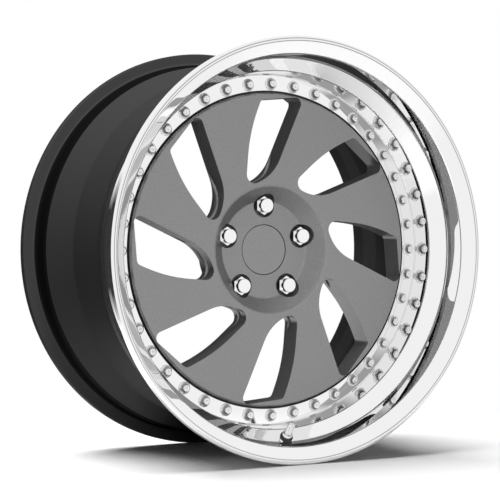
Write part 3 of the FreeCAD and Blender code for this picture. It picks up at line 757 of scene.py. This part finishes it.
@dataclass
class AssemblyBolts:
    """Ring of bright bolts in the lip's flange, with their washers and nuts behind."""

    count: int = 40
    circle: float = 208.7
    seat: float = -51.0
    tail: float = -20.6
    tail_round: float = 0.6
    shank: float = 3.5
    flange: float = 8.0
    flange_rim: float = 1.0
    flange_height: float = 2.6
    flange_round: float = 0.8
    edge_round: float = 0.3
    neck_flare: float = 0.4
    neck_height: float = 0.3
    neck_round: float = 0.2
    neck_shade_reach: float = 2.6
    neck_shade_margin: float = 0.1
    head: float = 4.3
    head_height: float = 7.6
    head_round: float = 0.9
    dimple: float = 1.7
    dimple_depth: float = 0.9
    dimple_taper: float = 0.55
    arc_step: float = 20.0
    run_step: float = 40.0

    def outline(self) -> list[Corner]:
        """Section of one bolt, from the tip of its shank to its dimple.

        Returns:
            Its corners, on the bolt's own axis.
        """
        neck = self.seat - self.flange_height
        top = self.seat - self.head_height
        return [
            Corner(0.0, self.tail),
            Corner(self.shank, self.tail, self.tail_round),
            Corner(self.shank, self.seat),
            Corner(self.flange, self.seat, self.edge_round),
            Corner(self.flange, self.seat - self.flange_rim, self.flange_round),
            Corner(self.head + self.neck_flare, neck, self.edge_round),
            Corner(self.head, neck - self.neck_height, self.neck_round),
            Corner(self.head, top, self.head_round),
            Corner(self.dimple, top, self.edge_round),
            Corner(self.dimple * self.dimple_taper, top + self.dimple_depth, self.edge_round),
            Corner(0.0, top + self.dimple_depth),
        ]

    def build(self) -> None:
        """Turn one bolt, mark its neck for painted shade under the head, copy it round the flange and dress the
        ring.
        """
        path = rounded_path(self.outline(), False, self.arc_step, self.run_step)
        bolt = Bench.turned("bolts_bright", path, Spin.SMALL, closed=False)
        # painted shade: band round the neck just under the head
        neck = self.seat - self.flange_height
        Bench.mark(bolt, BRIGHT_BOLT.painted_shade, neck - self.neck_shade_reach, neck + self.neck_height,
                   self.head - self.neck_shade_margin)
        bolt.data.transform(Matrix.Translation((0.0, 0.0, self.circle * MM)))
        bolts = Bench.ring(bolt, self.count)
        Bench.smooth(bolts, Bench.TURNED_CREASE)
        dress(bolts, BRIGHT_BOLT, ["assembly_bolts"])
        coat_node("assembly_washers", PLATED_NUT)
        coat_node("assembly_nuts", PLATED_NUT)


@dataclass
class LugNuts:
    """Five closed lug nuts."""

    edge_round: float = 0.7
    edge_segments: int = 3

    def build(self) -> None:
        """Soften the nuts' edges and dress them."""
        nuts = Bench.softened("lug_nuts", "lug_nuts_chrome", self.edge_round, self.edge_segments)
        dress(nuts, LUG_CHROME, ["lug_nuts"])


@dataclass
class Valve:
    """Valve in the lip, with its rubber and its cap, and the sealant over the seam."""

    edge_round: float = 0.35

    def build(self) -> None:
        """Soften the valve's edges and dress its pieces."""
        for node, finish in (
            ("valve_stem", VALVE_CHROME),
            ("valve_cap", VALVE_CHROME),
            ("valve_nut", VALVE_CHROME),
            ("valve_grommet", BLACK_RUBBER),
        ):
            piece = Bench.softened(node, f"{node}_dressed", self.edge_round)
            dress(piece, finish, [node])
        coat_node("valve_core", VALVE_CHROME)
        coat_node("valve_seal", BLACK_RUBBER)
        coat_node("seam_sealant", SEALANT)


@dataclass(frozen=True)
class Lamp:
    """Soft round lamp that looks at the wheel and stays out of reflections.

    Args:
        name: name of the lamp.
        place: where it hangs, in metres.
        size: its diameter in metres.
        energy: its power in watts.
        lights: what it lights.
    """

    name: str
    place: Triple
    size: float
    energy: float
    lights: Lit

    def hang(self, floor: bpy.types.Object) -> None:
        """Hang the lamp.

        Args:
            floor: the floor, which it either lights alone or leaves out.
        """
        receivers = bpy.data.collections.new(f"{self.name}_receivers")
        receivers.objects.link(floor)
        receivers.collection_objects[0].light_linking.link_state = self.lights.value
        lamp = bpy.data.lights.new(self.name, "AREA")
        lamp.shape = "DISK"
        lamp.size = self.size
        lamp.energy = self.energy
        hung = bpy.data.objects.new(self.name, lamp)
        hung.location = self.place
        hung.rotation_euler = Vector(self.place).to_track_quat("Z", "Y").to_euler()
        hung.visible_glossy = False
        hung.light_linking.receiver_collection = receivers
        bpy.context.scene.collection.objects.link(hung)


@dataclass
class Studio:
    """Pale floor, soft light and the camera of the photograph.

    Args:
        target: point that the camera looks at.
        azimuth: turn of the camera from the wheel's axis, in degrees.
        elevation: rise of the camera, in degrees.
        distance: distance of the camera from its target.
        lens: focal length.
        sensor: width of the camera's sensor.
        floor_radius: radius of the floor in metres.
        floor_fade: shares of that radius where the floor starts and ends to clear.
        floor_sides: sides of the floor's outline.
        floor_shade: linear grey of the floor.
        floor_roughness: roughness of the floor.
        lamps: the lamps.
        fill: level of the surround as fill light.
        dark_side: direction of a dark place that mirrors see.
        dark_reach: half angle of that place, in degrees.
        dark_edge: shares of that angle where the dark place ends and is full.
        dark_level: its level.
        ring_level: level of a grey ring that mirrors see where the disc's face throws the camera's view.
        ring_reach: half angles of the ring's inner and outer edge, in degrees.
        ring_edge: width of its soft edges, in degrees.
        sheen_rise: cosines to the front between which the light for satin coats rises.
        sheen_low: level of that light at the back.
        sheen_high: its level in front.
    """

    target: Triple = (-29.88, -51.0, -0.04)
    azimuth: float = -29.477
    elevation: float = 0.589
    distance: float = 2237.9
    lens: float = 128.77
    sensor: float = 36.0
    floor_radius: float = 0.75
    floor_fade: tuple[float, float] = (0.25, 0.85)
    floor_sides: int = 96
    floor_shade: float = 0.95
    floor_roughness: float = 0.9
    lamps: tuple[Lamp, ...] = (
        Lamp("overhead", (-0.4, -0.7, 2.4), size=1.5, energy=125.0, lights=Lit.WHEEL),
        Lamp("front", (-1.2, -3.0, 0.9), size=1.6, energy=130.0, lights=Lit.WHEEL),
        Lamp("rear", (-0.5, 2.6, 0.3), size=1.4, energy=80.0, lights=Lit.WHEEL),
        Lamp("ground", (-0.4, 0.4, 2.0), size=2.6, energy=135.0, lights=Lit.FLOOR),
    )
    fill: float = 0.08
    dark_side: Triple = (-0.30, 0.95, 0.0)
    dark_reach: float = 15.0
    dark_edge: tuple[float, float] = (1.2, 0.8)
    dark_level: float = 0.04
    ring_level: float = 0.42
    ring_reach: tuple[float, float] = (16.0, 46.0)
    ring_edge: float = 6.0
    sheen_rise: tuple[float, float] = (0.15, 0.5)
    sheen_low: float = 0.035
    sheen_high: float = 1.05

    def build(self) -> None:
        """Set up camera, floor and light."""
        self.camera()
        floor = self.floor()
        bpy.context.scene.view_settings.view_transform = "Standard"
        self.surround()
        for lamp in self.lamps:
            lamp.hang(floor)

    def camera(self) -> None:
        """Place the camera."""
        turn, rise = math.radians(self.azimuth), math.radians(self.elevation)
        back = Vector((math.sin(turn) * math.cos(rise), -math.cos(turn) * math.cos(rise), math.sin(rise)))
        lens = bpy.data.cameras.new("camera")
        lens.sensor_width = self.sensor
        lens.lens = self.lens
        eye = bpy.data.objects.new("camera", lens)
        eye.location = (Vector(self.target) + back * self.distance) * MM
        eye.rotation_euler = back.to_track_quat("Z", "Y").to_euler()
        bpy.context.scene.collection.objects.link(eye)
        bpy.context.scene.camera = eye

    def floor(self) -> bpy.types.Object:
        """Lay a floor under the wheel that fades out round it.

        Returns:
            The floor.
        """
        Bench.clear()
        low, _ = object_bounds()
        bpy.ops.mesh.primitive_circle_add(vertices=self.floor_sides, radius=self.floor_radius, fill_type="NGON",
                                          location=(0.0, 0.0, low[2]))
        floor = bpy.context.object
        floor.name = "floor"
        floor.data.materials.append(self.floor_finish())
        floor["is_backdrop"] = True
        return floor

    def floor_finish(self) -> bpy.types.Material:
        """White floor, clear towards its rim.

        Returns:
            The floor's material.
        """
        made = bpy.data.materials.new("floor_pale")
        made.use_nodes = True
        tree = made.node_tree
        shader = tree.nodes["Principled BSDF"]
        shader.inputs["Base Color"].default_value = (*[self.floor_shade] * 3, 1.0)
        shader.inputs["Roughness"].default_value = self.floor_roughness
        reach = tree.nodes.new("ShaderNodeVectorMath")
        reach.operation = "LENGTH"
        tree.links.new(tree.nodes.new("ShaderNodeTexCoord").outputs["Object"], reach.inputs[0])
        start, end = (self.floor_radius * share for share in self.floor_fade)
        fade = self.rise(tree, reach.outputs["Value"], start, end)
        clear = tree.nodes.new("ShaderNodeBsdfTransparent").outputs["BSDF"]
        faded = self.blend(tree, fade, shader.outputs["BSDF"], clear)
        tree.links.new(faded, tree.nodes["Material Output"].inputs["Surface"])
        return made

    @staticmethod
    def rise(tree: bpy.types.NodeTree, value: bpy.types.NodeSocket, low: float,
             high: float) -> bpy.types.NodeSocket:
        """Share that rises from 0 to 1 with a value.

        Args:
            tree: node tree to work in.
            value: the value.
            low: value at which the share leaves 0.
            high: value at which it reaches 1.

        Returns:
            The share's socket.
        """
        share = tree.nodes.new("ShaderNodeMapRange")
        share.inputs["From Min"].default_value = low
        share.inputs["From Max"].default_value = high
        tree.links.new(value, share.inputs["Value"])
        return share.outputs["Result"]

    @staticmethod
    def blend(tree: bpy.types.NodeTree, share: bpy.types.NodeSocket, first: bpy.types.NodeSocket,
              second: bpy.types.NodeSocket) -> bpy.types.NodeSocket:
        """Blend of two shaders.

        Args:
            tree: node tree to work in.
            share: share of the second shader.
            first: the first shader.
            second: the second shader.

        Returns:
            The blended shader's socket.
        """
        mix = tree.nodes.new("ShaderNodeMixShader")
        tree.links.new(share, mix.inputs["Fac"])
        tree.links.new(first, mix.inputs[1])
        tree.links.new(second, mix.inputs[2])
        return mix.outputs["Shader"]

    @staticmethod
    def lobe(tree: bpy.types.NodeTree, toward: Vector, low: float, high: float) -> bpy.types.NodeSocket:
        """Share that rises from 0 to 1 as a direction of the surround turns towards another one.

        Args:
            tree: node tree of the surround.
            toward: the direction to turn to.
            low: cosine at which the share leaves 0.
            high: cosine at which it reaches 1.

        Returns:
            The share's socket.
        """
        facing = tree.nodes.new("ShaderNodeVectorMath")
        facing.operation = "DOT_PRODUCT"
        facing.inputs[1].default_value = toward.normalized()
        tree.links.new(tree.nodes.new("ShaderNodeTexCoord").outputs["Generated"], facing.inputs[0])
        return Studio.rise(tree, facing.outputs["Value"], low, high)

    @staticmethod
    def cone(tree: bpy.types.NodeTree, toward: Vector, outer: float, inner: float) -> bpy.types.NodeSocket:
        """Share that rises from 0 to 1 between two half angles round a direction.

        Args:
            tree: node tree of the surround.
            toward: the direction.
            outer: half angle at which the share leaves 0, in degrees.
            inner: half angle at which it reaches 1, in degrees.

        Returns:
            The share's socket.
        """
        return Studio.lobe(tree, toward, math.cos(math.radians(outer)), math.cos(math.radians(inner)))

    @staticmethod
    def glow(tree: bpy.types.NodeTree, level: float) -> bpy.types.NodeSocket:
        """Even light of one level.

        Args:
            tree: node tree of the surround.
            level: its strength.

        Returns:
            The light's socket.
        """
        light = tree.nodes.new("ShaderNodeBackground")
        light.inputs["Color"].default_value = (1.0, 1.0, 1.0, 1.0)
        light.inputs["Strength"].default_value = level
        return light.outputs["Background"]

    def mirrored(self, tree: bpy.types.NodeTree) -> bpy.types.NodeSocket:
        """Surround that mirrors see: white, with one dark place and a grey ring.

        Args:
            tree: node tree of the surround.

        Returns:
            The light's socket.
        """
        dark_outer, dark_inner = (self.dark_reach * share for share in self.dark_edge)
        dark = self.cone(tree, Vector(self.dark_side), dark_outer, dark_inner)
        plain = self.blend(tree, dark, self.glow(tree, 1.0), self.glow(tree, self.dark_level))
        turn = math.radians(self.azimuth)
        thrown = Vector((-math.sin(turn), -math.cos(turn), 0.0))
        inner, outer = self.ring_reach
        core = self.cone(tree, thrown, inner + self.ring_edge, inner)
        whole = self.cone(tree, thrown, outer, outer - self.ring_edge)
        ringed = self.blend(tree, core, self.glow(tree, self.ring_level), plain)
        return self.blend(tree, whole, plain, ringed)

    def surround(self) -> None:
        """Set a surround for mirrors, one that is bright in front for satin coats, and dim fill light."""
        world = bpy.data.worlds.new("surround")
        bpy.context.scene.world = world
        world.use_nodes = True
        world.cycles.sampling_method = "NONE"
        tree = world.node_tree
        rays = tree.nodes.new("ShaderNodeLightPath").outputs
        ahead = self.lobe(tree, Vector((0.0, -1.0, 0.0)), *self.sheen_rise)
        satin = self.blend(tree, ahead, self.glow(tree, self.sheen_low), self.glow(tree, self.sheen_high))
        rough = tree.nodes.new("ShaderNodeMath")
        rough.operation = "SUBTRACT"
        tree.links.new(rays["Is Glossy Ray"], rough.inputs[0])
        tree.links.new(rays["Is Singular Ray"], rough.inputs[1])
        seen = self.blend(tree, rough.outputs["Value"], self.mirrored(tree), satin)
        lit = self.blend(tree, rays["Is Diffuse Ray"], seen, self.glow(tree, self.fill))
        tree.links.new(lit, tree.nodes["World Output"].inputs["Surface"])


def main() -> None:
    """Build the wheel's pieces in order, then the studio."""
    logging.basicConfig(level=logging.INFO, format="%(message)s")
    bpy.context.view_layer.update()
    for part in (OuterLip(), InnerBarrel(), CentreDisc(), AssemblyBolts(), LugNuts(), Valve(), Studio()):
        part.build()


if __name__ == "__main__":
    main()
